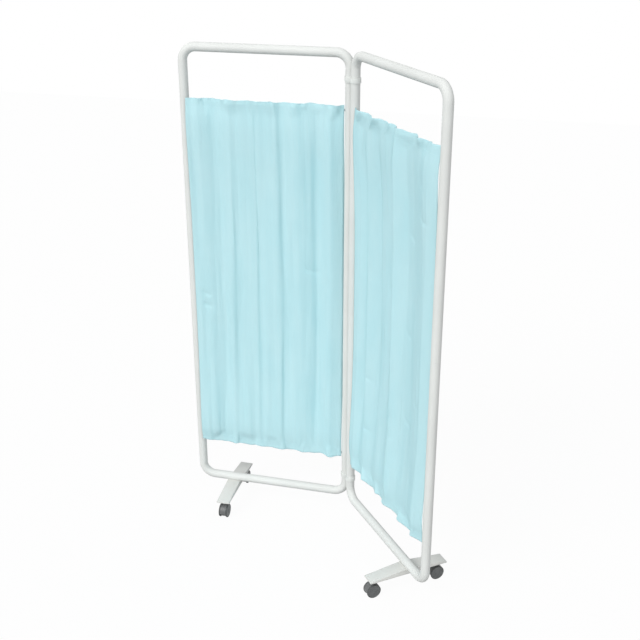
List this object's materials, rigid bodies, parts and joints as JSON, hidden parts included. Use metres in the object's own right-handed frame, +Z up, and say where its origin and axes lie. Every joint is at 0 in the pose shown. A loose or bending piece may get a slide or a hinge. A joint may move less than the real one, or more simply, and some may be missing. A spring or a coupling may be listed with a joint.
{
  "type": "folding ward privacy screen on wheels",
  "caption": "Folding privacy screen: hinged round-tube frames with gathered cloth curtains, on low crosswise feet with twin-wheel casters.",
  "frame": {"origin": "on the floor, under the middle of the bounding box of the whole screen as it stands, half folded", "axes": "+X along the flat panel (panel A) from its outer upright to the hinge, +Y towards the back, +Z up; the other panel (panel B) runs from the hinge forwards, 51.5 degrees off +X"},
  "size_m": [0.9788, 0.611, 1.6895],
  "materials": {
    "frame_paint": "satin off-white powder coat",
    "foot_paint": "satin off-white powder coat",
    "hinge_plastic": "satin off-white moulded plastic",
    "zinc_steel": "bright zinc plate",
    "curtain_fabric": "matt plain-weave cloth, pale cyan",
    "caster_hood": "satin mid-grey moulded plastic",
    "caster_wheel": "satin dark grey moulded plastic",
    "caster_tyre": "matt dark grey rubber tread"
  },
  "bodies": {
    "panel_a": {"frame_a_upper": "frame_paint", "frame_a_lower": "frame_paint", "frame_a_outer_sleeve": "zinc_steel", "frame_a_hinge_sleeve": "zinc_steel", "rod_a_top": "zinc_steel", "rod_a_bottom": "zinc_steel", "curtain_a": "curtain_fabric", "foot_a": "foot_paint", "foot_a_bolt_1": "zinc_steel", "foot_a_nut_1": "zinc_steel", "foot_a_bolt_2": "zinc_steel", "foot_a_nut_2": "zinc_steel", "caster_a_front_stem": "zinc_steel", "caster_a_back_stem": "zinc_steel", "hinge_collar_bottom": "hinge_plastic", "hinge_collar_top": "hinge_plastic"},
    "hinge_links": {"hinge_link_bottom": "hinge_plastic", "hinge_link_top": "hinge_plastic"},
    "panel_b": {"frame_b_upper": "frame_paint", "frame_b_lower": "frame_paint", "frame_b_outer_sleeve": "zinc_steel", "frame_b_hinge_sleeve": "zinc_steel", "rod_b_top": "zinc_steel", "rod_b_bottom": "zinc_steel", "curtain_b": "curtain_fabric", "foot_b": "foot_paint", "foot_b_bolt_1": "zinc_steel", "foot_b_nut_1": "zinc_steel", "foot_b_bolt_2": "zinc_steel", "foot_b_nut_2": "zinc_steel", "caster_b_front_stem": "zinc_steel", "caster_b_back_stem": "zinc_steel"},
    "swivel_a_front": {"caster_a_front_hood": "caster_hood", "caster_a_front_axle": "zinc_steel"},
    "wheel_a_front_left": {"caster_a_front_left_wheel": "caster_wheel", "caster_a_front_left_tyre": "caster_tyre"},
    "wheel_a_front_right": {"caster_a_front_right_wheel": "caster_wheel", "caster_a_front_right_tyre": "caster_tyre"},
    "swivel_a_back": {"caster_a_back_hood": "caster_hood", "caster_a_back_axle": "zinc_steel"},
    "wheel_a_back_left": {"caster_a_back_left_wheel": "caster_wheel", "caster_a_back_left_tyre": "caster_tyre"},
    "wheel_a_back_right": {"caster_a_back_right_wheel": "caster_wheel", "caster_a_back_right_tyre": "caster_tyre"},
    "swivel_b_front": {"caster_b_front_hood": "caster_hood", "caster_b_front_axle": "zinc_steel"},
    "wheel_b_front_left": {"caster_b_front_left_wheel": "caster_wheel", "caster_b_front_left_tyre": "caster_tyre"},
    "wheel_b_front_right": {"caster_b_front_right_wheel": "caster_wheel", "caster_b_front_right_tyre": "caster_tyre"},
    "swivel_b_back": {"caster_b_back_hood": "caster_hood", "caster_b_back_axle": "zinc_steel"},
    "wheel_b_back_left": {"caster_b_back_left_wheel": "caster_wheel", "caster_b_back_left_tyre": "caster_tyre"},
    "wheel_b_back_right": {"caster_b_back_right_wheel": "caster_wheel", "caster_b_back_right_tyre": "caster_tyre"}
  },
  "joints": [
    {"name": "link_fold", "type": "hinge", "parent": "panel_a", "child": "hinge_links", "pos_m": [0.0751, 0.16351, 0.09502], "axis": [0, 0, 1], "range_deg": [-13, 107]},
    {"name": "panel_fold", "type": "hinge", "parent": "hinge_links", "child": "panel_b", "pos_m": [0.09719, 0.13983, 0.09502], "axis": [0, 0, 1], "range_deg": [-55.5, 64.5]},
    {"name": "swivel_a_front", "type": "hinge", "parent": "panel_a", "child": "swivel_a_front", "pos_m": [-0.3529, 0.04451, 0.06402], "axis": [0, 0, 1], "continuous": true},
    {"name": "spin_a_front_left", "type": "hinge", "parent": "swivel_a_front", "child": "wheel_a_front_left", "pos_m": [-0.3529, 0.03851, 0.02452], "axis": [1, 0, 0], "continuous": true},
    {"name": "spin_a_front_right", "type": "hinge", "parent": "swivel_a_front", "child": "wheel_a_front_right", "pos_m": [-0.3529, 0.03851, 0.02452], "axis": [1, 0, 0], "continuous": true},
    {"name": "swivel_a_back", "type": "hinge", "parent": "panel_a", "child": "swivel_a_back", "pos_m": [-0.3529, 0.28251, 0.06402], "axis": [0, 0, 1], "continuous": true},
    {"name": "spin_a_back_left", "type": "hinge", "parent": "swivel_a_back", "child": "wheel_a_back_left", "pos_m": [-0.3529, 0.27651, 0.02452], "axis": [1, 0, 0], "continuous": true},
    {"name": "spin_a_back_right", "type": "hinge", "parent": "swivel_a_back", "child": "wheel_a_back_right", "pos_m": [-0.3529, 0.27651, 0.02452], "axis": [1, 0, 0], "continuous": true},
    {"name": "swivel_b_front", "type": "hinge", "parent": "panel_b", "child": "swivel_b_front", "pos_m": [0.2705, -0.26921, 0.06402], "axis": [0, 0, 1], "continuous": true},
    {"name": "spin_b_front_left", "type": "hinge", "parent": "swivel_b_front", "child": "wheel_b_front_left", "pos_m": [0.2658, -0.27294, 0.02452], "axis": [-0.6225, 0.7826, 0], "continuous": true},
    {"name": "spin_b_front_right", "type": "hinge", "parent": "swivel_b_front", "child": "wheel_b_front_right", "pos_m": [0.2658, -0.27294, 0.02452], "axis": [-0.6225, 0.7826, 0], "continuous": true},
    {"name": "swivel_b_back", "type": "hinge", "parent": "panel_b", "child": "swivel_b_back", "pos_m": [0.45676, -0.12105, 0.06402], "axis": [0, 0, 1], "continuous": true},
    {"name": "spin_b_back_left", "type": "hinge", "parent": "swivel_b_back", "child": "wheel_b_back_left", "pos_m": [0.45206, -0.12479, 0.02452], "axis": [-0.6225, 0.7826, 0], "continuous": true},
    {"name": "spin_b_back_right", "type": "hinge", "parent": "swivel_b_back", "child": "wheel_b_back_right", "pos_m": [0.45206, -0.12479, 0.02452], "axis": [-0.6225, 0.7826, 0], "continuous": true}
  ]
}
